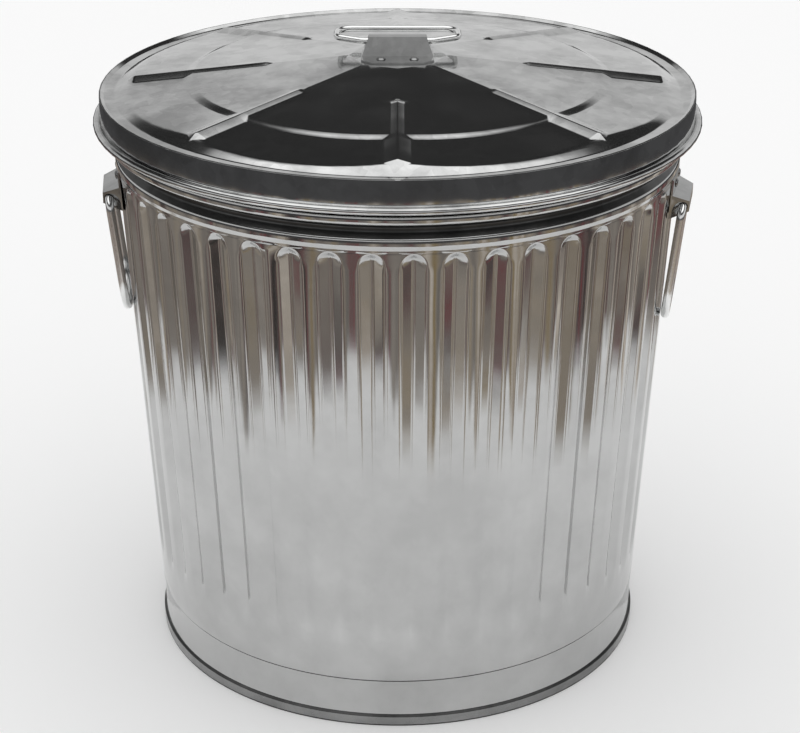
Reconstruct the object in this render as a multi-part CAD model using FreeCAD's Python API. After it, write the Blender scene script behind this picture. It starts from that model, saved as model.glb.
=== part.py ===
import FreeCAD, Part

# A galvanised refuse can with a lift-off lid: fluted body, base pan, domed lid with pressed ribs, a wire bail
# under a strap on the lid, and two wire drop handles in riveted ears. Millimetres, +Z up. The origin is the
# centre of the foot, and the front faces -Y. Angles go about Z from the front, positive towards +X.

import os
from math import asin, atan2, cos, degrees, hypot, pi, radians, sin, sqrt, tan

from FreeCAD import Vector

# ---- driving dimensions: body --------------------------------------------------------------------------------
SHEET = 0.6  # gauge of the body, base and lid
FITTING_SHEET = 1.2  # gauge of the strap and the ears
SEAM_GAP = 0.05  # between pieces that are seamed or riveted together

BODY_HEIGHT = 414.6  # foot to the top of the rolled rim
WALL_FOOT_R = 179.2  # the wall's cone, carried down to the floor
WALL_MOUTH_R = 202.3  # the same cone at the top of the rim

FOOT_BAND_R = 180.4  # plain band under the flutes
FOOT_BAND_TOP = 37.0
FOOT_HEM_R = 182.0  # the band's folded foot
FOOT_HEM_HEIGHT = 7.6

FLUTES = 46
FLUTE_TURN = 3.0  # degrees from the front to the nearest flute
FLUTE_WIDTH = 17.0  # across the top of a flute
FLUTE_DEPTH = 3.6
FLUTE_BOTTOM = 62.0
FLUTE_POINT = 10.0  # length of the pointed lower end
FLUTE_TOP_DROP = 50.6  # rim to the crown of the arched upper end
ARCH_STEPS = 6  # straight steps round the arch
FLUTED_TOP_DROP = 48.6  # rim to the upper end of the plain wall

LAP_WIDTH = 6.0  # side seam, on the land next to a flute
LAP_AFTER_FLUTE = -4  # the flute, counted from the one at FLUTE_TURN

FOOT_SLOPE = 1.5  # height of the bevel above the plain band
LOWER_BEAD_INSET = 1.5  # the beads, the valley and the neck, set in or out from WALL_MOUTH_R
LOWER_BEAD_DROP = 43.1  # and down from the rim
VALLEY_INSET = 5.5
VALLEY_DROP = 34.8
UPPER_BEAD_OUT = 3.9
UPPER_BEAD_DROP = 26.3
BEAD_CREST = 2.6  # height of the flat crest of a bead
NECK_INSET = 1.1
NECK_DROP = 18.6
RIM_ROLL_R = 2.8  # radius of the rolled rim

BASE_RAISE = 7.0  # underside of the base above the floor

# ---- driving dimensions: lid ---------------------------------------------------------------------------------
LID_SEAT_GAP = 0.3  # rim to the lid's underside
LID_FIT_GAP = 3.2  # the body's upper bead to the inside of the skirt
LID_SKIRT_DEPTH = 20.0  # below the rim
LID_ROLL_R = 2.4
LID_SHOULDER = 1.9  # height of the raised shoulder above the flat margin
LID_SHOULDER_WIDTH = 0.9
LID_SHOULDER_REACH = 3.5  # skirt to the flat margin
LID_MARGIN_WIDTH = 7.0
LID_BAND_WIDTH = 12.5  # steep band, from the margin up to the panel
LID_BAND_HEIGHT = 4.8
LID_RISE = 0.106  # rise of the ribs' line for each millimetre inwards
LID_STEP_INSET = 35.0  # panel's edge to the foot of the raised step
LID_STEP_WIDTH = 9.0
LID_STEP = 1.2  # outer plates to inner plates, and inner plates to the ribs' line
LID_DISC_R = 34.0  # flat centre
LID_FACETS = 8
LID_SIDES = 96  # flats round the lid's circles
RIB_INNER_R = 93.0  # the ridge of a rib, without its sloping ends
RIB_OUTER_INSET = 1.0  # panel's edge to the end of the ridge
RIB_SLOPE = 0.3  # fall of a rib's sides for each millimetre across
RIB_HALF_WIDTH = 13.0  # to the buried foot of a rib

# ---- driving dimensions: wire bail and strap on the lid --------------------------------------------------------
WIRE_SIDES = 10  # flat sides of the wire
WIRE_STEP = 15.0  # degrees of bend in one straight step
BAIL_WIRE_R = 2.25
BAIL_WIDTH = 86.0  # between the wire's centre lines
BAIL_REACH = 33.0
BAIL_ARM_RUN = 10.0  # how far back the arms have gone where they turn
BAIL_PIVOT_HALF = 25.0  # half the straight pivot length
BAIL_PIVOT_LIFT = 10.2  # wire centre above the flat centre
BAIL_CORNER_R = 11.0
BAIL_ELBOW_R = 7.0

CLIP_GAP = 0.25  # wire to the clip over it
HOLE_GAP = 0.35  # wire to its hole in a cheek
HOLE_SIDES = 10
STRAP_WIDTH = 51.0  # at the flange
STRAP_CROWN_WIDTH = 40.5
STRAP_FRONT = -24.0  # flange edge
STRAP_FOLD = -8.0  # flange to panel
STRAP_BACK = 7.0
STRAP_CROWN = 6.8  # depth of the flat crown
STRAP_CORNER = 7.0  # cut corners of the flange

# ---- driving dimensions: drop handles and ears -----------------------------------------------------------------
HANDLE_TURN = {"left": -84.0, "right": 79.0}
HANDLE_WIRE_R = 3.0
HANDLE_WIDTH = 56.0  # between the wire's centre lines
HANDLE_DROP = 88.0  # pivot to the lowest point, along the wire's plane
HANDLE_CORNER_R = 7.0
HANDLE_PIVOT_LIFT = 7.52214  # pivot above the wall
HANDLE_PIVOT_DROP = 68.6  # and below the rim
HANDLE_WALL_GAP = 0.4  # hanging wire to the wall

EAR_WIDTH = 48.0  # at the flange
EAR_CROWN_WIDTH = 39.0
EAR_RISE = 19.6  # pivot to the flange's edge
EAR_FOLD_RISE = 8.5  # pivot to the fold between flange and panel
EAR_FOOT_DROP = 8.0  # pivot to the lower edge
EAR_CROWN = 7.6  # height of the flat crown

RIVET_HEAD_R = 3.3
RIVET_HEAD_HEIGHT = 1.3
RIVET_SIDES = 12
STRAP_RIVET_SPACING = 23.0
EAR_RIVET_SPACING = 23.0

CUTTER_RUN = 10.0  # how far a cutting form runs on past what it cuts

# ---- worked-out sizes --------------------------------------------------------------------------------------------
FLUTE_TOP = BODY_HEIGHT - FLUTE_TOP_DROP
FLUTED_TOP = BODY_HEIGHT - FLUTED_TOP_DROP
LOWER_BEAD_R, LOWER_BEAD_Z = WALL_MOUTH_R - LOWER_BEAD_INSET, BODY_HEIGHT - LOWER_BEAD_DROP
VALLEY_R, VALLEY_Z = WALL_MOUTH_R - VALLEY_INSET, BODY_HEIGHT - VALLEY_DROP
UPPER_BEAD_R, UPPER_BEAD_Z = WALL_MOUTH_R + UPPER_BEAD_OUT, BODY_HEIGHT - UPPER_BEAD_DROP
NECK_R, NECK_Z = WALL_MOUTH_R - NECK_INSET, BODY_HEIGHT - NECK_DROP
LID_SKIRT_R = UPPER_BEAD_R + LID_FIT_GAP + SHEET
LID_SKIRT_BOTTOM = BODY_HEIGHT - LID_SKIRT_DEPTH
LID_MARGIN_R = LID_SKIRT_R - LID_SHOULDER_REACH
LID_BAND_R = LID_MARGIN_R - LID_MARGIN_WIDTH
LID_PANEL_R = LID_BAND_R - LID_BAND_WIDTH
LID_STEP_OUTER_R = LID_PANEL_R - LID_STEP_INSET
LID_STEP_INNER_R = LID_STEP_OUTER_R - LID_STEP_WIDTH
RIB_OUTER_R = LID_PANEL_R - RIB_OUTER_INSET
HANDLE_PIVOT_Z = BODY_HEIGHT - HANDLE_PIVOT_DROP
EAR_TOP = HANDLE_PIVOT_Z + EAR_RISE
EAR_FOLD = HANDLE_PIVOT_Z + EAR_FOLD_RISE
EAR_BOTTOM = HANDLE_PIVOT_Z - EAR_FOOT_DROP
LID_MARGIN_Z = BODY_HEIGHT + LID_SEAT_GAP + SHEET  # upper side of the lid's flat margin
LID_APEX_Z = LID_MARGIN_Z + LID_BAND_HEIGHT + 2 * LID_STEP + LID_RISE * LID_PANEL_R  # where the ribs' lines meet
LID_DISC_Z = LID_APEX_Z - LID_STEP - LID_RISE * LID_DISC_R
BAIL_PIVOT_Z = LID_DISC_Z + BAIL_PIVOT_LIFT
WALL_TILT = degrees(atan2(WALL_MOUTH_R - WALL_FOOT_R, BODY_HEIGHT))


def wall_r(z):
    """Outer radius of the wall's cone at height z."""
    return WALL_FOOT_R + (WALL_MOUTH_R - WALL_FOOT_R) * z / BODY_HEIGHT


HANDLE_PIVOT_R = wall_r(HANDLE_PIVOT_Z) + HANDLE_PIVOT_LIFT

def polar(r, turn, z):
    """A point at radius r, turned from the front by turn degrees."""
    a = radians(turn)
    return Vector(r * sin(a), -r * cos(a), z)


# ---- helpers -----------------------------------------------------------------------------------------------------
def polygon_face(points):
    """A flat face inside a closed run of points."""
    return Part.Face(Part.makePolygon(points + points[:1]))


def solid_of(faces):
    """One closed solid from the faces round it."""
    shell = Part.Shell(faces)
    shell.sewShape()
    solid = Part.Solid(shell)
    if solid.Volume < 0:
        solid.reverse()
    return solid


def one_solid(shape):
    """The single solid in a boolean's result."""
    shape = shape.removeSplitter()
    if len(shape.Solids) != 1:
        raise ValueError("expected one solid, found %d" % len(shape.Solids))
    return shape.Solids[0]


def turned_faces(section, turns):
    """The faces that an open run of (radius, height) points sweeps round Z, flat between one turn and the next."""
    faces = []
    for (r0, z0), (r1, z1) in zip(section, section[1:]):
        for a, b in zip(turns, turns[1:] + turns[:1]):
            points = [polar(r0, a, z0)]
            if r0 > 0:
                points.append(polar(r0, b, z0))
            if r1 > 0:
                points.append(polar(r1, b, z1))
            points.append(polar(r1, a, z1))
            if len(points) > 2 and max(r0, r1) > 0:
                faces.append(polygon_face(points))
    return faces


def turned(section, turns):
    """A closed section of (radius, height) points turned about Z, with flats between the turns."""
    return solid_of(turned_faces(section + section[:1], turns))


def offset_line(points, gauge):
    """The (radius, height) line beside points, gauge to its right, with mitred corners."""
    normals = []
    for a, b in zip(points, points[1:]):
        length = hypot(b[0] - a[0], b[1] - a[1])
        normals.append(((b[1] - a[1]) / length, -(b[0] - a[0]) / length))
    moved = []
    for i, (r, z) in enumerate(points):
        near = normals[max(i - 1, 0) : i + 1]
        nr = sum(n[0] for n in near) / len(near)
        nz = sum(n[1] for n in near) / len(near)
        k = gauge / (nr * nr + nz * nz)
        moved.append((r + nr * k, z + nz * k))
    return moved


def rolled_edge(r, z, radius):
    """A rolled edge's (radius, height) points, six-sided and flat above and below, from inside over the top."""
    across = radius / cos(pi / 6)
    return [(r + across * cos(pi - i * pi / 3), z + across * sin(pi - i * pi / 3)) for i in range(6)]


# ---- body --------------------------------------------------------------------------------------------------------
FLUTE_HALF = degrees(asin(FLUTE_WIDTH / 2 / wall_r(FLUTE_TOP)))  # half the angle that a flute spans
FLUTE_TURNS = [FLUTE_TURN + k * 360.0 / FLUTES for k in range(FLUTES)]
BODY_TURNS = [turn + side * FLUTE_HALF for turn in FLUTE_TURNS for side in (-1, 1)]  # every fold of the wall


def fluted_skin(inset):
    """The faces of the fluted wall, inset by a gauge from its outer side.

    Every fold runs towards one apex on the axis, so each land and each side of a flute is flat."""
    faces = []
    top_r = wall_r(FLUTE_TOP)
    valley_r = top_r * cos(radians(FLUTE_HALF)) - FLUTE_DEPTH - inset
    valley = valley_r / (top_r - inset)
    spring_z = FLUTE_TOP - FLUTE_WIDTH / 2
    heel_z = FLUTE_BOTTOM + FLUTE_POINT

    for turn in FLUTE_TURNS:

        def on_wall(side, z):
            return polar(wall_r(z) - inset, turn + side * FLUTE_HALF, z)

        def in_valley(z):
            return polar((wall_r(z) - inset) * valley, turn, z)

        def arch(step):
            a = pi * step / ARCH_STEPS
            z = spring_z + sin(a) * FLUTE_WIDTH / 2
            left, right = on_wall(-1, z), on_wall(1, z)
            return left + (right - left) * ((1 - cos(a)) / 2)

        arches = [arch(i) for i in range(ARCH_STEPS + 1)]
        point = (on_wall(-1, FLUTE_BOTTOM) + on_wall(1, FLUTE_BOTTOM)) * 0.5
        bottom = [on_wall(-1, FOOT_BAND_TOP), on_wall(1, FOOT_BAND_TOP)]
        crown = [on_wall(1, FLUTED_TOP), on_wall(-1, FLUTED_TOP)]
        land_end = turn + 360.0 / FLUTES - FLUTE_HALF
        land = [bottom[1], polar(wall_r(FOOT_BAND_TOP) - inset, land_end, FOOT_BAND_TOP)]
        land += [polar(wall_r(FLUTED_TOP) - inset, land_end, FLUTED_TOP), crown[0]]
        faces.append(polygon_face(land))
        faces.append(polygon_face(bottom + [on_wall(1, heel_z), point, on_wall(-1, heel_z)]))
        faces.append(polygon_face(arches + crown))
        for side in (-1, 1):
            edge = [on_wall(side, heel_z), on_wall(side, spring_z)]
            faces.append(polygon_face([edge[0], point, in_valley(heel_z)]))
            faces.append(polygon_face([edge[0], in_valley(heel_z), in_valley(spring_z), edge[1]]))
        for a, b in zip(arches, arches[1:]):
            faces.append(polygon_face([a, b, in_valley(spring_z)]))
    return faces


def side_seam():
    """The overlap of the sheet, a strip that lies on one land from the foot band to the beads."""
    start = FLUTE_TURN + LAP_AFTER_FLUTE * 360.0 / FLUTES + FLUTE_HALF
    across = degrees(LAP_WIDTH / wall_r(FLUTE_TOP))

    def outline(z):
        low, high = polar(wall_r(z), start, z), polar(wall_r(z), start + across, z)
        out = polar(SHEET, start + across / 2, 0)
        return [low - out * 0.5, high - out * 0.5, high + out, low + out]

    low, high = outline(FOOT_BAND_TOP + SHEET), outline(FLUTED_TOP - SHEET)
    faces = [polygon_face(low), polygon_face(high)]
    for i in range(4):
        j = (i + 1) % 4
        faces.append(polygon_face([low[i], low[j], high[j], high[i]]))
    return solid_of(faces)


def can_body():
    """One sheet from the folded foot to the rolled rim: fluted between its plain foot band and its beads."""
    inner_r = FOOT_BAND_R - SHEET
    foot = [
        (wall_r(FOOT_BAND_TOP), FOOT_BAND_TOP),
        (FOOT_BAND_R, FOOT_BAND_TOP - FOOT_SLOPE),
        (FOOT_BAND_R, FOOT_HEM_HEIGHT),
        (FOOT_HEM_R, FOOT_HEM_HEIGHT),
        (FOOT_HEM_R, 0),
        (inner_r, 0),
        (inner_r, FOOT_BAND_TOP - FOOT_SLOPE),
        (wall_r(FOOT_BAND_TOP) - SHEET, FOOT_BAND_TOP),
    ]
    crest = BEAD_CREST / 2
    roll_z = BODY_HEIGHT - RIM_ROLL_R
    outer = [
        (NECK_R, roll_z - RIM_ROLL_R),
        (NECK_R, NECK_Z),
        (UPPER_BEAD_R, UPPER_BEAD_Z + crest),
        (UPPER_BEAD_R, UPPER_BEAD_Z - crest),
        (VALLEY_R, VALLEY_Z),
        (LOWER_BEAD_R, LOWER_BEAD_Z),
        (wall_r(FLUTED_TOP), FLUTED_TOP),
    ]
    inner = offset_line(outer, SHEET)[1:-1]
    rim = rolled_edge(NECK_R - SHEET + RIM_ROLL_R / cos(pi / 6), roll_z, RIM_ROLL_R)[:5]
    mouth = [(wall_r(FLUTED_TOP) - SHEET, FLUTED_TOP)] + inner[::-1] + rim + outer
    turns = BODY_TURNS
    skins = fluted_skin(0) + fluted_skin(SHEET)
    shell = solid_of(skins + turned_faces(foot, turns) + turned_faces(mouth, turns))
    return one_solid(shell.fuse(side_seam()))


def base_pan():
    edge = FOOT_BAND_R - SHEET - SEAM_GAP
    top = BASE_RAISE + SHEET
    section = [
        (0, BASE_RAISE),
        (edge - SHEET, BASE_RAISE),
        (edge - SHEET, 0),
        (edge, 0),
        (edge, top),
        (0, top),
    ]
    return one_solid(turned(section, BODY_TURNS))


# ---- lid ---------------------------------------------------------------------------------------------------------
LID_TURNS = [360.0 * i / LID_SIDES for i in range(LID_SIDES)]


def facet_cone(apex_z, reach, bottom_z):
    """A many-sided cone whose edges are the ribs' lines, down to bottom_z."""
    corners = [polar(reach, 360.0 * i / LID_FACETS, apex_z - LID_RISE * reach) for i in range(LID_FACETS)]
    feet = [Vector(p.x, p.y, bottom_z) for p in corners]
    apex = Vector(0, 0, apex_z)
    faces = [polygon_face(feet)]
    for i in range(LID_FACETS):
        j = (i + 1) % LID_FACETS
        faces.append(polygon_face([corners[i], corners[j], apex]))
        faces.append(polygon_face([feet[i], feet[j], corners[j], corners[i]]))
    return solid_of(faces)


def rib(turn, inset):
    """A pressed rib: a long ridge with sloping sides and ends, filled down into the panel."""
    across = polar(RIB_HALF_WIDTH, turn + 90, 0)
    fall = RIB_SLOPE * RIB_HALF_WIDTH

    def on_line(r, below):
        return polar(r, turn, LID_APEX_Z - inset - LID_RISE * r - below)

    ridge = [on_line(RIB_INNER_R, 0), on_line(RIB_OUTER_R, 0)]
    ends = [RIB_INNER_R - RIB_HALF_WIDTH, RIB_OUTER_R + RIB_HALF_WIDTH / 2]
    left = [on_line(r, fall) - across for r in ends]
    right = [on_line(r, fall) + across for r in ends]
    down = Vector(0, 0, -CUTTER_RUN / 2)
    faces = [
        polygon_face([left[0], left[1], ridge[1], ridge[0]]),
        polygon_face([right[0], right[1], ridge[1], ridge[0]]),
        polygon_face([left[0], right[0], ridge[0]]),
        polygon_face([left[1], right[1], ridge[1]]),
        polygon_face([left[0] + down, left[1] + down, right[1] + down, right[0] + down]),
    ]
    rim = [left[0], left[1], right[1], right[0]]
    for a, b in zip(rim, rim[1:] + rim[:1]):
        faces.append(polygon_face([a, b, b + down, a + down]))
    return solid_of(faces)


def lid_form(inset):
    """The lid as a filled form; the inner side of the sheet is a gauge lower and a gauge smaller."""
    bottom = LID_SKIRT_BOTTOM + (LID_ROLL_R if inset == 0 else -LID_ROLL_R)
    margin_z = LID_MARGIN_Z - inset
    skirt_r = LID_SKIRT_R - inset
    shoulder_z = margin_z + LID_SHOULDER
    slope = LID_BAND_HEIGHT / (LID_BAND_R - LID_PANEL_R)
    band_r = LID_BAND_R - inset * (sqrt(1 + slope * slope) - 1) / slope
    core_r = LID_PANEL_R - 1.5 * CUTTER_RUN
    top = LID_APEX_Z + LID_STEP
    plate = turned(
        [
            (0, bottom),
            (skirt_r, bottom),
            (skirt_r, shoulder_z),
            (skirt_r - LID_SHOULDER_WIDTH + inset, shoulder_z),
            (LID_MARGIN_R - inset / 2, margin_z),
            (band_r, margin_z),
            (core_r, margin_z + (band_r - core_r) * slope),
            (core_r, top),
            (0, top),
        ],
        LID_TURNS,
    )
    panel = plate.common(facet_cone(LID_APEX_Z - 2 * LID_STEP - inset, 2 * LID_SKIRT_R, bottom))
    outer_r, inner_r = LID_STEP_OUTER_R - inset, LID_STEP_INNER_R - inset
    step = turned(
        [
            (0, bottom),
            (outer_r, bottom),
            (outer_r, LID_APEX_Z - inset - 2 * LID_STEP - LID_RISE * outer_r / cos(pi / LID_FACETS)),
            (inner_r, LID_APEX_Z - inset - LID_STEP - LID_RISE * inner_r),
            (inner_r, top),
            (0, top),
        ],
        LID_TURNS,
    ).common(facet_cone(LID_APEX_Z - LID_STEP - inset, 2 * LID_SKIRT_R, bottom))
    reach = 3 * LID_SKIRT_R
    cap = Part.makeBox(reach, reach, LID_APEX_Z, Vector(-reach / 2, -reach / 2, LID_DISC_Z - inset))
    ribs = [rib(360.0 * i / LID_FACETS, inset) for i in range(LID_FACETS)]
    return panel.fuse(step).cut(cap).multiFuse(ribs)


def lid_shell():
    lip = rolled_edge(LID_SKIRT_R - 0.1 + LID_ROLL_R, LID_SKIRT_BOTTOM + LID_ROLL_R, LID_ROLL_R)
    return one_solid(lid_form(0).fuse(turned(lip, LID_TURNS)).cut(lid_form(SHEET)))


# ---- wire loops --------------------------------------------------------------------------------------------------
def wire_loop(corners, radius, place):
    """Wire bent to a closed flat outline, in short straight steps with mitred joints.

    corners are (x, y, bend radius), and place puts the loop in the frame."""
    path = []
    count = len(corners)
    for i, (x, y, bend) in enumerate(corners):
        here = Vector(x, y, 0)
        before = (Vector(*corners[i - 1][:2], 0) - here).normalize()
        after = (Vector(*corners[(i + 1) % count][:2], 0) - here).normalize()
        turn = pi - before.getAngle(after)
        inward = (before + after).normalize()
        centre = here + inward * (bend / cos(turn / 2))
        steps = max(1, round(degrees(turn) / WIRE_STEP))
        step = turn / steps
        sign = 1 if before.cross(after).z < 0 else -1
        start = atan2(-inward.y, -inward.x) - sign * turn / 2
        for k in range(steps):
            a = start + sign * step * (k + 0.5)
            path.append(centre + Vector(cos(a), sin(a), 0) * (bend / cos(step / 2)))

    rings = []
    turn = 2 * pi / WIRE_SIDES
    across = radius / cos(turn / 2)
    for i, at in enumerate(path):
        before = (at - path[i - 1]).normalize()
        after = (path[(i + 1) % len(path)] - at).normalize()
        side = Vector(0, 0, 1).cross((before + after).normalize())
        stretch = 1 / cos(before.getAngle(after) / 2)
        rings.append(
            [
                at
                + side * (stretch * across * cos(turn * (k + 0.5)))
                + Vector(0, 0, across * sin(turn * (k + 0.5)))
                for k in range(WIRE_SIDES)
            ]
        )
    faces = []
    for a, b in zip(rings, rings[1:] + rings[:1]):
        for k in range(WIRE_SIDES):
            n = (k + 1) % WIRE_SIDES
            faces.append(polygon_face([a[k], a[n], b[n], b[k]]))
    shape = solid_of(faces)
    shape.Placement = place
    return shape


def lid_handle():
    half = BAIL_WIDTH / 2
    corners = [
        (-BAIL_PIVOT_HALF, 0, BAIL_ELBOW_R),
        (BAIL_PIVOT_HALF, 0, BAIL_ELBOW_R),
        (half, BAIL_ARM_RUN, BAIL_ELBOW_R),
        (half, BAIL_REACH, BAIL_CORNER_R),
        (-half, BAIL_REACH, BAIL_CORNER_R),
        (-half, BAIL_ARM_RUN, BAIL_ELBOW_R),
    ]
    return wire_loop(corners, BAIL_WIRE_R, FreeCAD.Placement(Vector(0, 0, BAIL_PIVOT_Z), FreeCAD.Rotation()))


def handle_lean():
    """Degrees that a hanging handle leans in from the vertical, to lie against the wall."""
    low_z = HANDLE_PIVOT_Z - HANDLE_DROP
    rest_r = wall_r(low_z) + HANDLE_WIRE_R + HANDLE_WALL_GAP
    return degrees(asin((HANDLE_PIVOT_R - rest_r) / HANDLE_DROP))


def handle_frame(side):
    """Placement whose X runs along the pivot, Y down the hanging wire and Z inwards."""
    turn = HANDLE_TURN[side]
    along = polar(1, turn + 90, 0)
    out = polar(1, turn, 0)
    lean = radians(handle_lean())
    down = Vector(0, 0, -cos(lean)) - out * sin(lean)
    normal = along.cross(down)
    matrix = FreeCAD.Matrix(
        along.x, down.x, normal.x, 0, along.y, down.y, normal.y, 0, along.z, down.z, normal.z, 0, 0, 0, 0, 1
    )
    return FreeCAD.Placement(polar(HANDLE_PIVOT_R, turn, HANDLE_PIVOT_Z), FreeCAD.Rotation(matrix))


def drop_handle(side):
    half = HANDLE_WIDTH / 2
    corners = [
        (-half, 0, HANDLE_CORNER_R),
        (half, 0, HANDLE_CORNER_R),
        (half, HANDLE_DROP, half),
        (-half, HANDLE_DROP, half),
    ]
    return wire_loop(corners, HANDLE_WIRE_R, handle_frame(side))


# ---- strap and ears ----------------------------------------------------------------------------------------------
def frustum(base, crown, place=None):
    """A form with flat sides from a base rectangle to a crown rectangle.

    Each rectangle is (half width, low edge, high edge, height), in a frame with X across, Y up the clip and Z
    away from what the clip sits on."""
    corners = []
    for half, low, high, height in (base, crown):
        corners.append([Vector(*p, height) for p in ((-half, low), (half, low), (half, high), (-half, high))])
    lower, upper = corners
    faces = [polygon_face(lower), polygon_face(upper)]
    for i in range(4):
        j = (i + 1) % 4
        faces.append(polygon_face([lower[i], lower[j], upper[j], upper[i]]))
    shape = solid_of(faces)
    if place:
        shape.Placement = place
    return shape


def saddle(width, crown_width, low, high, crown, height, wire_r, wire_y, wire_z, place):
    """A pressed saddle with closed cheeks over a wire that passes through both of them.

    width, low and high are its foot; crown_width and crown its flat top, centred on wire_y, at height."""
    t = FITTING_SHEET
    foot = -CUTTER_RUN  # the form starts below the foot, so that it can be trimmed to a curved wall
    half, top_half = width / 2, crown_width / 2
    top_low, top_high = wire_y - crown / 2, wire_y + crown / 2

    def section(z, thin):
        k = z / height
        return (
            half + (top_half - half) * k - thin,
            low + (top_low - low) * k + thin,
            high + (top_high - high) * k - thin,
            z,
        )

    form = frustum(section(foot, 0), section(height, 0), place)
    hollow = frustum(section(foot - t, t), section(height - t, t), place)
    hole_r = (wire_r + HOLE_GAP) / cos(pi / HOLE_SIDES)
    turns = [2 * pi * (i + 0.5) / HOLE_SIDES for i in range(HOLE_SIDES)]
    outline = [Vector(-width, wire_y + hole_r * sin(a), wire_z + hole_r * cos(a)) for a in turns]
    hole = polygon_face(outline).extrude(Vector(2 * width, 0, 0))
    hole.Placement = place
    return form, form.cut(hollow).cut(hole)


def lid_handle_strap():
    place = FreeCAD.Placement(Vector(0, 0, LID_DISC_Z), FreeCAD.Rotation())
    height = BAIL_PIVOT_LIFT + BAIL_WIRE_R + CLIP_GAP + FITTING_SHEET
    form, clip = saddle(
        STRAP_WIDTH,
        STRAP_CROWN_WIDTH,
        STRAP_FOLD,
        STRAP_BACK,
        STRAP_CROWN,
        height,
        BAIL_WIRE_R,
        0,
        BAIL_PIVOT_LIFT,
        place,
    )
    half = STRAP_WIDTH / 2
    outline = [
        (-half, STRAP_FOLD + FITTING_SHEET),
        (half, STRAP_FOLD + FITTING_SHEET),
        (half, STRAP_FRONT + STRAP_CORNER),
        (half - STRAP_CORNER, STRAP_FRONT),
        (STRAP_CORNER - half, STRAP_FRONT),
        (-half, STRAP_FRONT + STRAP_CORNER),
    ]
    flange = polygon_face([Vector(x, y, LID_DISC_Z) for x, y in outline]).extrude(Vector(0, 0, FITTING_SHEET))
    reach = 2 * STRAP_WIDTH
    under = Part.makeBox(reach, reach, reach, Vector(-reach / 2, -reach / 2, LID_DISC_Z + SEAM_GAP - reach))
    return one_solid(clip.fuse(flange).cut(under))


def ear_frame(side):
    """Placement whose X runs along the pivot, Y up and Z outwards, from the axis at the pivot's height."""
    turn = HANDLE_TURN[side]
    out = polar(1, turn, 0)
    along = Vector(0, 0, 1).cross(out)
    matrix = FreeCAD.Matrix(along.x, 0, out.x, 0, along.y, 0, out.y, 0, along.z, 1, out.z, 0, 0, 0, 0, 1)
    return FreeCAD.Placement(polar(wall_r(HANDLE_PIVOT_Z), turn, HANDLE_PIVOT_Z), FreeCAD.Rotation(matrix))


def wall_form(extra, low, high):
    """The wall's cone, filled, this much larger, between two heights."""
    return Part.makeCone(wall_r(low) + extra, wall_r(high) + extra, high - low, Vector(0, 0, low))


def ear(side):
    place = ear_frame(side)
    lift = HANDLE_PIVOT_LIFT
    height = lift + HANDLE_WIRE_R + CLIP_GAP + FITTING_SHEET
    low, fold, top = (z - HANDLE_PIVOT_Z for z in (EAR_BOTTOM, EAR_FOLD, EAR_TOP))
    form, clip = saddle(
        EAR_WIDTH, EAR_CROWN_WIDTH, low, fold, EAR_CROWN, height, HANDLE_WIRE_R, 0, lift, place
    )
    half = EAR_WIDTH / 2
    start, depth = fold - 2 * FITTING_SHEET, 2 * CUTTER_RUN
    blank = Part.makeBox(EAR_WIDTH, top - start, 2 * depth, Vector(-half, start, -depth))
    blank.Placement = place
    plate = wall_form(SEAM_GAP + FITTING_SHEET, EAR_BOTTOM - CUTTER_RUN, EAR_TOP + CUTTER_RUN)
    inside = wall_form(SEAM_GAP, EAR_BOTTOM - 2 * CUTTER_RUN, EAR_TOP + 2 * CUTTER_RUN)
    under = (half - FITTING_SHEET, low - CUTTER_RUN, fold - FITTING_SHEET / 2)
    hollow = frustum((*under, -depth), (*under, lift - HANDLE_WIRE_R), place)
    flange = blank.common(plate).cut(hollow)
    return one_solid(clip.fuse(flange).cut(inside))


def rivet(at, normal):
    """A rivet's outer head, a low many-sided button that stands on the sheet at a point."""
    across = normal.cross(Vector(0, 0, 1))
    across = Vector(1, 0, 0) if across.Length < 1e-6 else across.normalize()
    other = normal.cross(across)

    levels = []
    for radius, lift in ((1, SEAM_GAP), (0.86, RIVET_HEAD_HEIGHT * 0.55), (0.5, RIVET_HEAD_HEIGHT)):
        turns = [2 * pi * k / RIVET_SIDES for k in range(RIVET_SIDES)]
        spread = RIVET_HEAD_R * radius
        levels.append([at + normal * lift + across * (spread * cos(a)) + other * (spread * sin(a)) for a in turns])
    faces = [polygon_face(levels[0]), polygon_face(levels[-1])]
    for low, high in zip(levels, levels[1:]):
        for k in range(RIVET_SIDES):
            n = (k + 1) % RIVET_SIDES
            faces.append(polygon_face([low[k], low[n], high[n], high[k]]))
    return solid_of(faces)


def lid_strap_rivets():
    y = (STRAP_FRONT + STRAP_FOLD) / 2
    z = LID_DISC_Z + FITTING_SHEET
    heads = [rivet(Vector(s * STRAP_RIVET_SPACING / 2, y, z), Vector(0, 0, 1)) for s in (-1, 1)]
    return Part.makeCompound(heads)


def ear_rivets(side):
    z = (EAR_FOLD + EAR_TOP) / 2
    r = wall_r(z) + SEAM_GAP + FITTING_SHEET
    heads = []
    for s in (-1, 1):
        turn = HANDLE_TURN[side] + s * degrees(EAR_RIVET_SPACING / 2 / r)
        normal = polar(cos(radians(WALL_TILT)), turn, -sin(radians(WALL_TILT)))
        heads.append(rivet(polar(r, turn, z), normal))
    return Part.makeCompound(heads)


NODES = {
    "can_body": can_body,
    "base_pan": base_pan,
    "lid_shell": lid_shell,
    "lid_handle": lid_handle,
    "lid_handle_strap": lid_handle_strap,
    "lid_strap_rivets": lid_strap_rivets,
    "left_handle": lambda: drop_handle("left"),
    "right_handle": lambda: drop_handle("right"),
    "left_ear": lambda: ear("left"),
    "right_ear": lambda: ear("right"),
    "left_ear_rivets": lambda: ear_rivets("left"),
    "right_ear_rivets": lambda: ear_rivets("right"),
}

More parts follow.
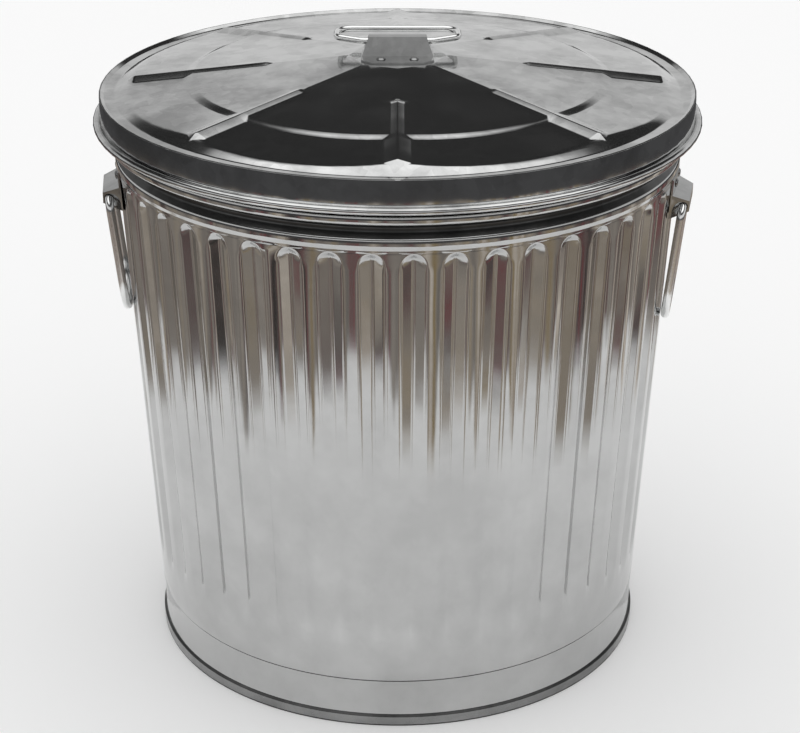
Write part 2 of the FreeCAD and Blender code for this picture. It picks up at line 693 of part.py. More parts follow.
os.makedirs("parts", exist_ok=True)
for name, build in NODES.items():
    shape = build()
    shape.exportStep("parts/%s.step" % name)
    print(name, "valid" if shape.isValid() else "NOT VALID", "volume %.0f" % shape.Volume, shape.BoundBox)
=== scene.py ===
"""A galvanised refuse can with its lid on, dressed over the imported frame."""

import bpy
from math import atan2, cos, degrees, hypot, pi, radians, sin, sqrt, tan
from mathutils import Matrix, Vector


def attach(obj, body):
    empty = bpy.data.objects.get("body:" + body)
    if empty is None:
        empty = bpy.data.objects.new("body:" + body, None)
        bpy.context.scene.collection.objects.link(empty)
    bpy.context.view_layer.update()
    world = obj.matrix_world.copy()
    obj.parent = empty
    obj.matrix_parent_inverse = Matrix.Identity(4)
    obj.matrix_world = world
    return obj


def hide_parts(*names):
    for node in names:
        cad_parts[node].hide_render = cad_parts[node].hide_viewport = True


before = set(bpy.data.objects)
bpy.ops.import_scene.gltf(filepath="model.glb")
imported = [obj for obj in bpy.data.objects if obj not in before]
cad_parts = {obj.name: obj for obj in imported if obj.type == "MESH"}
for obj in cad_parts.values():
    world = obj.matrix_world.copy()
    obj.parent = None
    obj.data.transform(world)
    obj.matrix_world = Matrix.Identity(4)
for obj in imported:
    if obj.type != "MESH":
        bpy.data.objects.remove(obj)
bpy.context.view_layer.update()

MM = 0.001
DOUBLES = 0.01 * MM  # points nearer than this are joined
WIRE_STEP = 6.0  # degrees of bend in one step
WIRE_RESOLUTION = 6

# ---- sizes of the can, in millimetres ------------------------------------------------------------
SHEET = 0.6
BODY_HEIGHT = 414.6
WALL_FOOT_R = 179.2  # the wall's cone at the floor
WALL_MOUTH_R = 202.3  # and at the top of the rim
FOOT_INNER_R = 179.8
FOOT_BAND_R = 180.4
FOOT_BAND_TOP = 37.0
FOOT_HEM_R = 182.0
FOOT_HEM_HEIGHT = 7.6
FLUTES = 46
FLUTE_TURN = 3.0  # degrees from the front to the nearest flute
FLUTE_HALF_WIDTH = 8.5
FLUTE_DEPTH = 3.6
FLUTE_FOLD = 0.2  # ease of a flute's folds, as a share of its half width
FLUTE_SPRING = 355.5  # foot of the arched upper end
FLUTE_CROWN = 364.0
FLUTE_END_RUN = 5.5  # length over which the arched end falls to the full depth
FLUTE_FOOT = 60.0
FLUTE_FOOT_RUN = 27.0
FLUTED_TOP = 364.7
SEAM_FLUTE = -4  # the side seam lies after this flute
SEAM_LIFT = 0.55
LOWER_BEAD_R = 200.9
VALLEY_R = 196.8
UPPER_BEAD_R = 206.3
NECK_R = 201.2
RIM_CENTRE = (203.95, 411.6)
RIM_RADII = (3.1, 3.0)

MARGIN_Z = 415.5  # upper side of the lid's flat margin
MARGIN_R = 206.5
SKIRT_R = 210.0
LIP_CENTRE = (212.35, 397.15)
LIP_RADII = (2.65, 2.5)
BAND_FOOT_R = 199.5  # steep band inside the margin
BAND_SLOPE = 0.384
DISC_Z = 437.718  # flat centre
DISC_R = 34.0
APEX_Z = 442.522  # where the ribs' lines meet
RISE = 0.106
STEP = 1.2  # ribs' line to the inner plates, and these to the outer plates
RING_TOP_R = 144.5
RING_FOOT_R = 150.5
RIBS = 8
RIB_INNER_R = 88.0
RIB_OUTER_R = 191.0
RIB_END_RUN = 5.0
RIB_SIDE_SLOPE = 0.256

BAIL_WIRE_R = 2.25
HANDLE_WIRE_R = 3.0
HANDLE_PIVOT_R = 206.0  # middle of a drop handle's upper bar
HANDLE_PIVOT_Z = 346.0
HANDLE_HALF = 28.0  # half its width, between the wire's middles
HANDLE_DROP = 88.0
HANDLE_LEAN = 5.8865  # degrees that it hangs inwards


def wall_r(z):
    """Radius of the plain wall at height z."""
    return WALL_FOOT_R + (WALL_MOUTH_R - WALL_FOOT_R) * z / BODY_HEIGHT


def ease(t):
    """0 to 1 with a smooth start and end."""
    t = min(1.0, max(0.0, t))
    return t * t * (3 - 2 * t)


def soft_v(t, e):
    """Depth of a rounded V: 1 in the middle, 0 at the edges t = 1, with its creases eased over e."""
    if t < e:
        return 1 - t * t / (2 * e) - e / 2
    if t > 1 + e:
        return 0.0
    if t > 1 - e:
        return (1 + e - t) ** 2 / (4 * e)
    return 1 - t


# ---- modelling helpers ---------------------------------------------------------------------------
def deselect():
    """Leaves no object selected."""
    bpy.ops.object.select_all(action="DESELECT")


def only(piece):
    """Makes a piece the one selected and active object."""
    deselect()
    piece.select_set(True)
    bpy.context.view_layer.objects.active = piece


def turned_wall(name, outline, columns):
    """A wall of revolution: a circle extruded and scaled along a (radius, height) outline."""
    deselect()
    r, z = outline[0]
    bpy.ops.mesh.primitive_circle_add(
        vertices=columns, radius=r * MM, fill_type="NOTHING", location=(0, 0, z * MM)
    )
    piece = bpy.context.object
    piece.name = piece.data.name = name
    bpy.ops.object.transform_apply(location=True, rotation=True, scale=True)
    bpy.ops.object.mode_set(mode="EDIT")
    bpy.ops.mesh.select_mode(type="EDGE")
    bpy.ops.mesh.select_all(action="SELECT")
    for (r0, z0), (r1, z1) in zip(outline, outline[1:]):
        bpy.ops.mesh.extrude_region_move(TRANSFORM_OT_translate={"value": (0, 0, (z1 - z0) * MM)})
        bpy.ops.transform.resize(value=(r1 / r0, r1 / r0, 1), center_override=(0, 0, 0))
    bpy.ops.object.mode_set(mode="OBJECT")
    return piece


def finish_mesh(piece, angle):
    """Merges doubles, turns the faces outwards and smooths the shading up to an angle."""
    only(piece)
    bpy.ops.object.mode_set(mode="EDIT")
    bpy.ops.mesh.select_all(action="SELECT")
    bpy.ops.mesh.remove_doubles(threshold=DOUBLES)
    bpy.ops.mesh.normals_make_consistent(inside=False)
    bpy.ops.object.mode_set(mode="OBJECT")
    bpy.ops.object.shade_smooth_by_angle(angle=radians(angle))


def rounded(points, radius, steps=4):
    """A (radius, height) line with its inner corners eased by an arc of that radius."""
    line = [points[0]]
    for a, b, c in zip(points, points[1:], points[2:]):
        p, q, s = Vector(a), Vector(b), Vector(c)
        u, v = (p - q), (s - q)
        reach = min(radius * abs(tan((pi - u.angle(v)) / 2)), u.length * 0.45, v.length * 0.45)
        start, end = q + u.normalized() * reach, q + v.normalized() * reach
        for i in range(steps + 1):
            t = i / steps
            line.append(tuple(start.lerp(q, t).lerp(q.lerp(end, t), t)))
    return line + [points[-1]]


def bent_wire(name, corners, radius, place):
    """Round wire bent to a closed flat outline of (x, y, bend radius) corners, in millimetres."""
    path = []
    for i, (x, y, bend) in enumerate(corners):
        here = Vector((x, y))
        before = (Vector(corners[i - 1][:2]) - here).normalized()
        after = (Vector(corners[(i + 1) % len(corners)][:2]) - here).normalized()
        turn = pi - before.angle(after)
        inward = (before + after).normalized()
        centre = here + inward * (bend / cos(turn / 2))
        sign = 1 if before.x * after.y - before.y * after.x < 0 else -1
        first = atan2(-inward.y, -inward.x) - sign * turn / 2
        steps = max(2, round(degrees(turn) / WIRE_STEP))
        for k in range(steps + 1):
            a = first + sign * turn * k / steps
            path.append((centre.x + bend * cos(a), centre.y + bend * sin(a)))
    curve = bpy.data.curves.new(name, "CURVE")
    curve.dimensions = "3D"
    spline = curve.splines.new("POLY")
    spline.points.add(len(path) - 1)
    for point, (x, y) in zip(spline.points, path):
        point.co = (*(place @ Vector((x * MM, y * MM, 0))), 1)
    spline.use_cyclic_u = True
    curve.bevel_depth = radius * MM
    curve.bevel_resolution = WIRE_RESOLUTION
    piece = bpy.data.objects.new(name, curve)
    bpy.context.scene.collection.objects.link(piece)
    only(piece)
    bpy.ops.object.convert(target="MESH")
    piece = bpy.context.object
    finish_mesh(piece, 60)
    return piece


def eased_copy(node, name, width):
    """A copy of a CAD node with its flat faces joined and its edges eased, like pressed metal."""
    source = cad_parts[node]
    piece = source.copy()
    piece.data = source.data.copy()
    piece.name = piece.data.name = name
    piece.parent = None
    piece.matrix_world = source.matrix_world
    bpy.context.scene.collection.objects.link(piece)
    only(piece)
    bpy.ops.object.mode_set(mode="EDIT")
    bpy.ops.mesh.select_all(action="SELECT")
    bpy.ops.mesh.remove_doubles(threshold=DOUBLES)
    bpy.ops.mesh.dissolve_limited(angle_limit=radians(1))
    bpy.ops.object.mode_set(mode="OBJECT")
    bevel = piece.modifiers.new("eased edges", "BEVEL")
    bevel.width = width * MM
    bevel.segments = 3
    bevel.limit_method = "ANGLE"
    bevel.angle_limit = radians(25)
    bpy.ops.object.modifier_apply(modifier=bevel.name)
    bpy.ops.object.shade_smooth_by_angle(angle=radians(35))
    weights = piece.modifiers.new("flat faces first", "WEIGHTED_NORMAL")
    weights.keep_sharp = True
    bpy.ops.object.modifier_apply(modifier=weights.name)
    return piece


# ---- finishes ------------------------------------------------------------------------------------
def noise(tree, coords, scale, detail, rough=0.5):
    """The value socket of a noise texture."""
    texture = tree.nodes.new("ShaderNodeTexNoise")
    texture.inputs["Scale"].default_value = scale
    texture.inputs["Detail"].default_value = detail
    texture.inputs["Roughness"].default_value = rough
    tree.links.new(coords, texture.inputs["Vector"])
    return texture.outputs["Fac"]


def ramp_up(tree, value, low, high):
    """0 below low, 1 above high, and straight between them."""
    node = tree.nodes.new("ShaderNodeMapRange")
    node.inputs["From Min"].default_value = low
    node.inputs["From Max"].default_value = high
    tree.links.new(value, node.inputs["Value"])
    return node.outputs["Result"]


def maths(tree, kind, a, b):
    """A maths node on two values, each a socket or a plain number."""
    node = tree.nodes.new("ShaderNodeMath")
    node.operation = kind
    for socket, value in zip(node.inputs, (a, b)):
        if isinstance(value, (int, float)):
            socket.default_value = value
        else:
            tree.links.new(value, socket)
    return node.outputs[0]


def times(tree, a, b):
    return maths(tree, "MULTIPLY", a, b)


def plus(tree, a, b):
    return maths(tree, "ADD", a, b)


def mixed(tree, kind, factor, a, b):
    """Mixes two values or colours, each a socket or a plain value."""
    mix = tree.nodes.new("ShaderNodeMix")
    mix.data_type = kind
    tree.links.new(factor, mix.inputs["Factor"])
    for name, value in (("A", a), ("B", b)):
        if isinstance(value, tuple):
            mix.inputs[name].default_value = value
        else:
            tree.links.new(value, mix.inputs[name])
    return mix.outputs["Result"]


def colour_ramp(tree, value, stops):
    """A colour ramp through (position, colour) stops; a bare number stands for a grey."""
    ramp = tree.nodes.new("ShaderNodeValToRGB")
    tree.links.new(value, ramp.inputs["Fac"])
    elements = ramp.color_ramp.elements
    for i, (position, colour) in enumerate([stops[0], stops[-1]] + stops[1:-1]):
        stop = elements[i] if i < 2 else elements.new(position)
        stop.position = position
        stop.color = (*colour, 1) if isinstance(colour, tuple) else (colour, colour, colour, 1)
    return ramp.outputs["Color"]


def zinc_group():
    """Zinc coating: spangle, soft stains and shallow waves, as colour, roughness and height."""
    group = bpy.data.node_groups.new("zinc coating", "ShaderNodeTree")
    face = group.interface
    face.new_socket("Vector", in_out="INPUT", socket_type="NodeSocketVector")
    for name in ("Bright", "Dull", "Smooth", "Rough", "Spangle"):
        face.new_socket(name, in_out="INPUT", socket_type="NodeSocketFloat")
    face.new_socket("Colour", in_out="OUTPUT", socket_type="NodeSocketColor")
    face.new_socket("Roughness", in_out="OUTPUT", socket_type="NodeSocketFloat")
    face.new_socket("Height", in_out="OUTPUT", socket_type="NodeSocketFloat")
    put = group.nodes.new("NodeGroupInput")
    out = group.nodes.new("NodeGroupOutput")
    coords = put.outputs["Vector"]

    spangle = group.nodes.new("ShaderNodeTexVoronoi")
    spangle.inputs["Scale"].default_value = 110.0
    group.links.new(coords, spangle.inputs["Vector"])
    split = group.nodes.new("ShaderNodeSeparateColor")
    group.links.new(spangle.outputs["Color"], split.inputs["Color"])
    centred = maths(group, "SUBTRACT", split.outputs[0], 0.5)
    grain = times(group, centred, put.outputs["Spangle"])

    clouds = noise(group, coords, 9.0, 5.0, 0.62)
    blots = noise(group, coords, 38.0, 4.0, 0.6)
    stain = plus(group, times(group, clouds, 0.7), times(group, blots, 0.3))
    stain = ramp_up(group, stain, 0.4, 0.62)

    factor = plus(group, stain, grain)
    tone = mixed(group, "FLOAT", factor, put.outputs["Bright"], put.outputs["Dull"])
    tint = group.nodes.new("ShaderNodeCombineColor")
    group.links.new(tone, tint.inputs["Red"])
    group.links.new(times(group, tone, 1.005), tint.inputs["Green"])
    group.links.new(tone, tint.inputs["Blue"])
    group.links.new(tint.outputs["Color"], out.inputs["Colour"])

    factor = plus(group, stain, times(group, grain, 0.6))
    polish = mixed(group, "FLOAT", factor, put.outputs["Smooth"], put.outputs["Rough"])
    group.links.new(polish, out.inputs["Roughness"])

    wave = noise(group, coords, 14.0, 2.0)
    fine = noise(group, coords, 260.0, 2.0)
    group.links.new(plus(group, wave, times(group, fine, 0.006)), out.inputs["Height"])
    return group


ZINC = zinc_group()


def zinc(name, tones, polish, spangle, bump, metallic=1.0):
    """A zinc coating from its bright to its dull tone and from its smooth to its rough polish."""
    material = bpy.data.materials.new(name)
    material.use_nodes = True
    tree = material.node_tree
    shader = tree.nodes["Principled BSDF"]
    shader.inputs["Metallic"].default_value = metallic
    coords = tree.nodes.new("ShaderNodeTexCoord")
    coat = tree.nodes.new("ShaderNodeGroup")
    coat.node_tree = ZINC
    tree.links.new(coords.outputs["Object"], coat.inputs["Vector"])
    names = ("Bright", "Dull", "Smooth", "Rough", "Spangle")
    for socket, value in zip(names, (*tones, *polish, spangle)):
        coat.inputs[socket].default_value = value
    tree.links.new(coat.outputs["Colour"], shader.inputs["Base Color"])
    tree.links.new(coat.outputs["Roughness"], shader.inputs["Roughness"])
    relief = tree.nodes.new("ShaderNodeBump")
    relief.inputs["Strength"].default_value = 1.0
    relief.inputs["Distance"].default_value = bump * MM
    tree.links.new(coat.outputs["Height"], relief.inputs["Height"])
    tree.links.new(relief.outputs["Normal"], shader.inputs["Normal"])
    return material


BODY_ZINC = zinc("body zinc", (0.56, 0.48), (0.07, 0.13), 0.15, 0.45)
LID_ZINC = zinc("lid zinc", (0.68, 0.36), (0.05, 0.15), 0.3, 0.4)
WIRE_ZINC = zinc("wire zinc", (0.90, 0.78), (0.14, 0.24), 0.1, 0.05)
CLIP_ZINC = zinc("clip zinc", (0.44, 0.24), (0.06, 0.16), 0.2, 0.1)
# Painted shade: a darker zinc for the face of the hem at the foot, standing in for the shade and
# dark reflection there.
HEM_PAINTED_SHADE_ZINC = zinc("hem painted shade zinc", (0.34, 0.22), (0.2, 0.35), 0.2, 0.1)
INNER_ZINC = zinc("inner zinc", (0.5, 0.38), (0.25, 0.4), 0.1, 0.2, metallic=0.5)
# Painted shade: near-black zinc laid on faces that stand in shade: the valley between the beads, the
# step under the fluted wall, the hem's edges, and the lid's underside and inner skirt.
PAINTED_SHADE_ZINC = zinc("painted shade zinc", (0.10, 0.05), (0.3, 0.45), 0.3, 0.2)


def coat(piece, *materials):
    """Gives a piece these materials and no others, in their order."""
    piece.data.materials.clear()
    for material in materials:
        piece.data.materials.append(material)


# ---- can body ------------------------------------------------------------------------------------
# across a flute, in half widths from its middle; one more column stands in the middle of each land
FLUTE_COLUMNS = [-1.2, -1.1, -1.0, -0.9, -0.8, -0.2, -0.1, 0.0, 0.1, 0.2, 0.8, 0.9, 1.0, 1.1, 1.2]
FLUTE_STRIP = len(FLUTE_COLUMNS) + 1
COLUMNS = FLUTES * FLUTE_STRIP


def wall_rows():
    """Heights of the rows between the foot band and the beads, closer at the flutes' ends."""
    rows = [FOOT_BAND_TOP, 45.0, 54.0] + [60.0 + 3.0 * i for i in range(10)]
    rows += [92.0, 130.0, 180.0, 230.0, 280.0, 320.0, 340.0, 347.0, 349.0, 351.0, 353.0, 354.3]
    rows += [FLUTE_SPRING + FLUTE_HALF_WIDTH * sin(radians(a)) for a in range(0, 91, 6)]
    return rows + [FLUTED_TOP]


def press_flutes(piece):
    """Presses the flutes into the plain wall, and lifts the lapped edge of the side seam."""
    pitch = 2 * pi / FLUTES
    half = FLUTE_HALF_WIDTH / wall_r(FLUTE_CROWN)
    near = 0.2  # height within which a row counts as the crown's
    for vertex in piece.data.vertices:
        x, y, z = (c / MM for c in vertex.co)
        r = hypot(x, y)
        outer = r > wall_r(z) - SHEET / 2
        column = round((atan2(x, -y) - radians(FLUTE_TURN)) / (2 * pi / COLUMNS))
        flute, place = divmod(column + FLUTE_STRIP // 2, FLUTE_STRIP)
        centre = radians(FLUTE_TURN) + flute * pitch
        turn, depth = centre + pitch / 2, 0.0
        if place < len(FLUTE_COLUMNS):
            across, squeeze = FLUTE_COLUMNS[place], 1.0
            if FLUTE_SPRING < z < FLUTE_CROWN + near:
                rise = (z - FLUTE_SPRING) / FLUTE_HALF_WIDTH
                squeeze = max(0.06, sqrt(max(0.0, 1 - rise * rise)))
            turn = centre + across * half * squeeze
            if FLUTE_FOOT < z < FLUTE_CROWN + near:
                across = abs(across) * squeeze
                end = FLUTE_SPRING + FLUTE_HALF_WIDTH * sqrt(max(0.0, 1 - across * across))
                depth = FLUTE_DEPTH * soft_v(across, FLUTE_FOLD)
                depth *= ease((end - z) / FLUTE_END_RUN + 0.08)
                depth *= ease((z - FLUTE_FOOT) / FLUTE_FOOT_RUN)
                if not outer and z > FLUTE_SPRING:
                    depth *= 0.98
        lapped = flute % FLUTES == SEAM_FLUTE % FLUTES and place >= FLUTE_STRIP - 2
        if lapped and outer and FOOT_BAND_TOP + 1 < z < FLUTED_TOP - 0.2:
            depth -= SEAM_LIFT
        reach = r - depth
        vertex.co = (reach * sin(turn) * MM, -reach * cos(turn) * MM, z * MM)


def ring(centre, radii, degrees_round):
    """Points of a rolled edge's section at the given degrees."""
    (r, z), (across, up) = centre, radii
    return [(r + across * cos(radians(a)), z + up * sin(radians(a))) for a in degrees_round]


def can_wall():
    """The sheet wall in one piece: foot band, flutes, beads and rolled rim, outside and inside."""
    roll = ring(RIM_CENTRE, RIM_RADII, range(-150, 181, 22))
    beads = rounded(
        [
            (wall_r(FLUTED_TOP), FLUTED_TOP),
            (wall_r(366.0), 366.2),
            (LOWER_BEAD_R, 369.4),
            (LOWER_BEAD_R, 373.4),
            (VALLEY_R, 378.0),
            (VALLEY_R, 381.6),
            (UPPER_BEAD_R, 385.8),
            (UPPER_BEAD_R, 390.6),
            (NECK_R, 396.0),
            (NECK_R, 409.6),
        ],
        3.0,
    )
    hem = [(FOOT_BAND_R, 0.2), (FOOT_HEM_R, 0.2), (FOOT_HEM_R, FOOT_HEM_HEIGHT)]
    foot = rounded(hem + [(FOOT_BAND_R, 7.9), (FOOT_BAND_R, 35.4)], 0.9, 3)
    outer = foot[2:] + [(181.1, 36.6)] + [(wall_r(z), z) for z in wall_rows()] + beads[1:]
    inner = [(NECK_R - SHEET, 409.0), (NECK_R - SHEET, 396.0)]
    inner += [(205.6, 390.3), (205.6, 386.2), (VALLEY_R - SHEET, 381.8), (VALLEY_R - SHEET, 377.9)]
    inner += [(200.3, 373.2), (200.3, 369.6), (wall_r(365) - SHEET, 365.5)]
    inner += [(wall_r(z) - SHEET, z) for z in wall_rows()[-2::-2]]
    inner += [(FOOT_INNER_R, 35.0), (FOOT_INNER_R, 0.2), (FOOT_INNER_R, 0.0)]
    start = [(FOOT_INNER_R, 0.0), (181.9, 0.0)]
    piece = turned_wall("fluted_wall", start + outer + roll + inner, COLUMNS)
    press_flutes(piece)
    finish_mesh(piece, 42)
    coat(piece, BODY_ZINC, HEM_PAINTED_SHADE_ZINC, INNER_ZINC, PAINTED_SHADE_ZINC)
    hem_painted_shade_slot, inner_slot, painted_shade_slot = 1, 2, 3
    # Painted shade: the hem gets darker zinc on its face and near-black at its edges, and the valley
    # between the beads and the step under the fluted wall get near-black zinc, for the shade that
    # lies there.
    for face in piece.data.polygons:
        middle = face.center / MM
        r, z = hypot(middle.x, middle.y), middle.z
        outward = face.normal.x * middle.x + face.normal.y * middle.y
        on_hem = z < 9.2 and r > FOOT_BAND_R - 0.1
        in_valley = 374.6 < z < 384.0 and r > VALLEY_R - 0.2
        under_wall = 35.3 < z < 36.8 and r > FOOT_BAND_R - 0.1
        if on_hem:
            face.material_index = hem_painted_shade_slot if 1.3 < z < 6.6 else painted_shade_slot
        elif in_valley or under_wall:
            face.material_index = painted_shade_slot
        elif outward < 0 and z < 365 and r < wall_r(z) - SHEET / 2:
            face.material_index = inner_slot
    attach(piece, "can")
    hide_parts("can_body")


# ---- lid -----------------------------------------------------------------------------------------
LID_STRIP = 18  # columns from the middle of one plate to the next
LID_COLUMNS = RIBS * LID_STRIP
HALF_PLATE = pi / RIBS
RIB_COLUMNS = (0.0, 0.12, 0.88, 1.0, 1.12)  # in half widths from a rib's ridge
TOP_MARK, UNDER_MARK = 500.0, 300.0  # heights that tell the rows of the two sides apart
MARK_SLOPE = 0.1


def plate_step(r):
    """Depth of the plates below the ribs' line at radius r, deeper outside the raised ring."""
    fall = (r - RING_TOP_R) / (RING_FOOT_R - RING_TOP_R)
    return STEP * (1 + max(0.0, min(1.0, fall)))


def rib_height(r):
    """Height of a rib's ridge above the plates at radius r, with its sloping ends."""
    end = min(1.0, (r - RIB_INNER_R) / RIB_END_RUN, (RIB_OUTER_R - r) / RIB_END_RUN)
    return max(0.0, end) * plate_step(r)


def lid_height(r, turn):
    """Height of the lid's top at radius r and a turn from the nearest rib."""
    drop = RISE / cos(HALF_PLATE) * r * cos(abs(turn) - HALF_PLATE)
    z = min(APEX_Z - plate_step(r) - drop, DISC_Z, MARGIN_Z + (BAND_FOOT_R - r) * BAND_SLOPE)
    ridge = rib_height(r)
    if ridge > 0:
        z += ridge * soft_v(abs(r * sin(turn)) / max(ridge / RIB_SIDE_SLOPE, 1.2), 0.12)
    return max(z, MARGIN_Z)


def lid_turn(r, n):
    """Turn from the nearest rib of the nth column at radius r."""
    half = max(1.6, rib_height(r) / RIB_SIDE_SLOPE) if r > 80 else max(0.6, r * 0.02)
    edge = min(RIB_COLUMNS[-1] * half / r, radians(12))
    last = len(RIB_COLUMNS) - 1
    if n <= last:
        return min(RIB_COLUMNS[n] * half / r, edge)
    return edge + (HALF_PLATE - edge) * (n - last) / (LID_STRIP // 2 - last)


def lid_sheet():
    """The lid in one sheet: flat centre, ribbed plates, raised ring, skirt and rolled lip."""
    rows = [1.0, 12.0, 24.0, 31.0, 33.5, DISC_R, 34.5, 37.0, 46.0, 60.0, 74.0, 84.0, 87.2]
    rows += [RIB_INNER_R, 89.0, 90.2, 91.5, 92.6, 93.4, 96.0, 105.0, 118.0, 131.0, 140.0]
    rows += [143.4, 144.2, 144.9, 147.5, 150.1, 150.8, 151.6, 156.0, 164.0, 173.0, 181.0]
    rows += [184.5, 185.6, 186.6, 187.6, 188.8, 190.2, 191.2, 193.0, 196.0, 198.6, BAND_FOOT_R]
    rows += [200.4, 203.0]
    corners = [(rows[-1], MARGIN_Z), (MARGIN_R, MARGIN_Z), (208.9, 417.3), (209.9, 417.1)]
    shoulder = rounded(corners + [(SKIRT_R, 400.0)], 1.0)[1:-1]
    lip = ring(LIP_CENTRE, LIP_RADII, range(155, -186, -20))
    under_z = MARGIN_Z - SHEET
    under = [(209.4, 398.0), (209.4, 415.8), (208.7, 416.4), (206.3, under_z), (rows[-1], under_z)]
    outline = [(r, TOP_MARK - r * MARK_SLOPE) for r in rows]
    outline += shoulder + [(SKIRT_R, 401.0)] + lip + under
    outline += [(r, UNDER_MARK - r * MARK_SLOPE) for r in rows[-2::-1]]
    piece = turned_wall("lid_sheet", outline, LID_COLUMNS)
    for vertex in piece.data.vertices:
        x, y, z = (c / MM for c in vertex.co)
        r = hypot(x, y)
        column = round(atan2(x, -y) / (2 * pi / LID_COLUMNS))
        sector, place = divmod(column + LID_STRIP // 2, LID_STRIP)
        place -= LID_STRIP // 2
        side = 1 if place >= 0 else -1
        turn = lid_turn(r, abs(place))
        top = z > TOP_MARK - 50
        if top or z < UNDER_MARK:
            if 28 < r < 40:
                r *= cos(HALF_PLATE) / cos(abs(turn) - HALF_PLATE)
            z = lid_height(r, turn) - (0 if top else SHEET)
        angle = sector * 2 * HALF_PLATE + side * turn
        vertex.co = (r * sin(angle) * MM, -r * cos(angle) * MM, z * MM)
    only(piece)
    bpy.ops.object.mode_set(mode="EDIT")
    bpy.ops.mesh.select_mode(type="EDGE")
    bpy.ops.mesh.select_all(action="DESELECT")
    bpy.ops.mesh.select_non_manifold()
    bpy.ops.mesh.edge_face_add()
    bpy.ops.object.mode_set(mode="OBJECT")
    finish_mesh(piece, 35)
    coat(piece, LID_ZINC, PAINTED_SHADE_ZINC)
    painted_shade_slot = 1
    # Painted shade: the lid's underside and the inside of its skirt get near-black zinc, for the
    # shade under the lid.
    for face in piece.data.polygons:
        middle = face.center / MM
        r = hypot(middle.x, middle.y)
        underside = face.normal.z < -0.5 and middle.z > 412
        inner_skirt = middle.z > 400 and 208.8 < r < 209.7
        if underside or inner_skirt:
            face.material_index = painted_shade_slot
    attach(piece, "lid")
    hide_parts("lid_shell")


# ---- wires, clips and rivets ---------------------------------------------------------------------
def lid_bail():
    """The wire handle on the lid, lying flat with its inner bar under the strap."""
    pivot_z = 0.447918  # metres above the floor
    corners = [(-25, 0, 7), (25, 0, 7), (43, 10, 7), (43, 33, 11), (-43, 33, 11), (-43, 10, 7)]
    piece = bent_wire("lid_bail_wire", corners, BAIL_WIRE_R, Matrix.Translation((0, 0, pivot_z)))
    coat(piece, WIRE_ZINC)
    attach(piece, "lid_bail")
    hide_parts("lid_handle")


def drop_handle(side, turn):
    """A side handle of round wire, turned about the can by degrees from the front."""
    a, lean = radians(turn), radians(5.8865)
    along = Vector((cos(a), sin(a), 0))
    out = Vector((sin(a), -cos(a), 0))
    down = Vector((0, 0, -cos(lean))) - out * sin(lean)
    pivot = out * HANDLE_PIVOT_R + Vector((0, 0, HANDLE_PIVOT_Z))
    place = Matrix.Translation(pivot * MM)
    place = place @ Matrix((along, down, along.cross(down))).transposed().to_4x4()
    corners = [(-HANDLE_HALF, 0, 7), (HANDLE_HALF, 0, 7)]
    corners += [(HANDLE_HALF, HANDLE_DROP, 28), (-HANDLE_HALF, HANDLE_DROP, 28)]
    piece = bent_wire(side + "_handle_wire", corners, HANDLE_WIRE_R, place)
    coat(piece, WIRE_ZINC)
    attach(piece, side + "_drop_handle")
    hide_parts(side + "_handle")


def clip(node, body, name, width):
    """A clip or a set of rivets, with its edges eased over a width in millimetres."""
    piece = eased_copy(node, name, width)
    coat(piece, CLIP_ZINC)
    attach(piece, body)
    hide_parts(node)


can_wall()
lid_sheet()
lid_bail()
drop_handle("left", -84.0)
drop_handle("right", 79.0)
clip("lid_handle_strap", "lid", "lid_strap", 0.5)
clip("left_ear", "can", "left_ear_clip", 0.5)
clip("right_ear", "can", "right_ear_clip", 0.5)
clip("lid_strap_rivets", "lid", "lid_strap_rivets_heads", 0.25)
clip("left_ear_rivets", "can", "left_ear_rivets_heads", 0.25)
clip("right_ear_rivets", "can", "right_ear_rivets_heads", 0.25)
coat(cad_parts["base_pan"], INNER_ZINC)


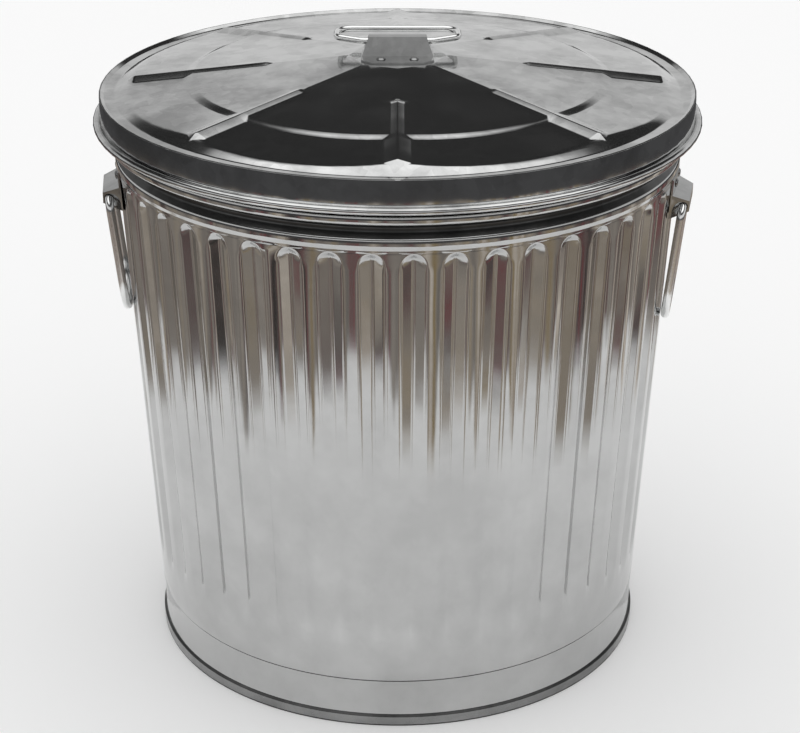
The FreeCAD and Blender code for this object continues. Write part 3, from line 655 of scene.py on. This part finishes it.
# ---- studio --------------------------------------------------------------------------------------
def studio_floor():
    """A pale floor. What the metal mirrors beyond its edge is the darker room."""
    deselect()
    bpy.ops.mesh.primitive_plane_add(size=40, location=(0, 0, -0.0002))
    floor = bpy.context.object
    floor.name = "studio_floor"
    material = bpy.data.materials.new("studio floor")
    material.use_nodes = True
    tree = material.node_tree
    shader = tree.nodes["Principled BSDF"]
    shader.inputs["Base Color"].default_value = (0.96, 0.96, 0.96, 1)
    shader.inputs["Roughness"].default_value = 0.8
    shader.inputs["Specular IOR Level"].default_value = 0.1
    coords = tree.nodes.new("ShaderNodeTexCoord").outputs["Object"]
    reach = tree.nodes.new("ShaderNodeVectorMath")
    reach.operation = "LENGTH"
    tree.links.new(coords, reach.inputs[0])
    heading = tree.nodes.new("ShaderNodeVectorMath")
    heading.operation = "NORMALIZE"
    tree.links.new(coords, heading.inputs[0])
    around = heading.outputs["Vector"]
    edge = times(tree, ramp_up(tree, noise(tree, around, 4.5, 2.0, 0.6), 0.42, 0.58), 0.18)
    far = ramp_up(tree, plus(tree, reach.outputs["Value"], edge), 0.68, 0.74)
    path = tree.nodes.new("ShaderNodeLightPath")
    far = times(tree, far, path.outputs["Is Glossy Ray"])
    room = colour_ramp(
        tree,
        noise(tree, around, 9.0, 3.0, 0.6),
        [
            (0.34, (0.05, 0.045, 0.042)),
            (0.385, (0.11, 0.1, 0.095)),
            (0.405, (0.26, 0.03, 0.045)),
            (0.425, (0.16, 0.145, 0.135)),
            (0.50, (0.3, 0.27, 0.24)),
            (0.55, (0.38, 0.34, 0.3)),
            (0.575, (0.25, 0.175, 0.06)),
            (0.60, (0.46, 0.41, 0.36)),
            (0.69, (0.75, 0.68, 0.6)),
        ],
    )
    deep = ramp_up(tree, reach.outputs["Value"], 1.28, 1.34)
    room = mixed(tree, "RGBA", deep, room, (0.07, 0.07, 0.072, 1))
    dark = tree.nodes.new("ShaderNodeEmission")
    tree.links.new(room, dark.inputs["Color"])
    mix = tree.nodes.new("ShaderNodeMixShader")
    tree.links.new(far, mix.inputs["Fac"])
    tree.links.new(shader.outputs["BSDF"], mix.inputs[1])
    tree.links.new(dark.outputs["Emission"], mix.inputs[2])
    tree.links.new(mix.outputs["Shader"], tree.nodes["Material Output"].inputs["Surface"])
    floor.data.materials.append(material)


def studio_world():
    """White behind, and in the metal a pale backdrop, a dark ceiling and soft light overhead."""
    world = bpy.data.worlds.new("studio")
    bpy.context.scene.world = world
    world.use_nodes = True
    tree = world.node_tree
    background = tree.nodes["Background"]
    coords = tree.nodes.new("ShaderNodeTexCoord").outputs["Generated"]
    split = tree.nodes.new("ShaderNodeSeparateXYZ")
    tree.links.new(coords, split.inputs["Vector"])
    wobble = times(tree, maths(tree, "SUBTRACT", noise(tree, coords, 3.0, 3.0), 0.5), 0.06)
    stops = [(0.0, 0.75), (0.39, 0.60), (0.44, 0.035), (0.68, 0.03), (0.77, 1.25), (1.0, 1.25)]
    mirrored = colour_ramp(tree, plus(tree, split.outputs["Z"], wobble), stops)
    path = tree.nodes.new("ShaderNodeLightPath")
    seen = mixed(tree, "RGBA", path.outputs["Is Glossy Ray"], (1, 1, 1, 1), mirrored)
    tree.links.new(seen, background.inputs["Color"])


def studio_camera():
    """A long lens looking down on the can from the front."""
    data = bpy.data.cameras.new("camera")
    camera = bpy.data.objects.new("camera", data)
    bpy.context.scene.collection.objects.link(camera)
    camera.location = (0, -1.4585, 0.8468)
    camera.rotation_euler = (radians(90 - 23.99), 0, 0)
    data.sensor_width = 36
    data.lens = 95.87
    data.shift_x = 0.003
    data.clip_end = 100
    bpy.context.scene.camera = camera


studio_floor()
studio_world()
studio_camera()
bpy.context.scene.view_settings.view_transform = "Standard"
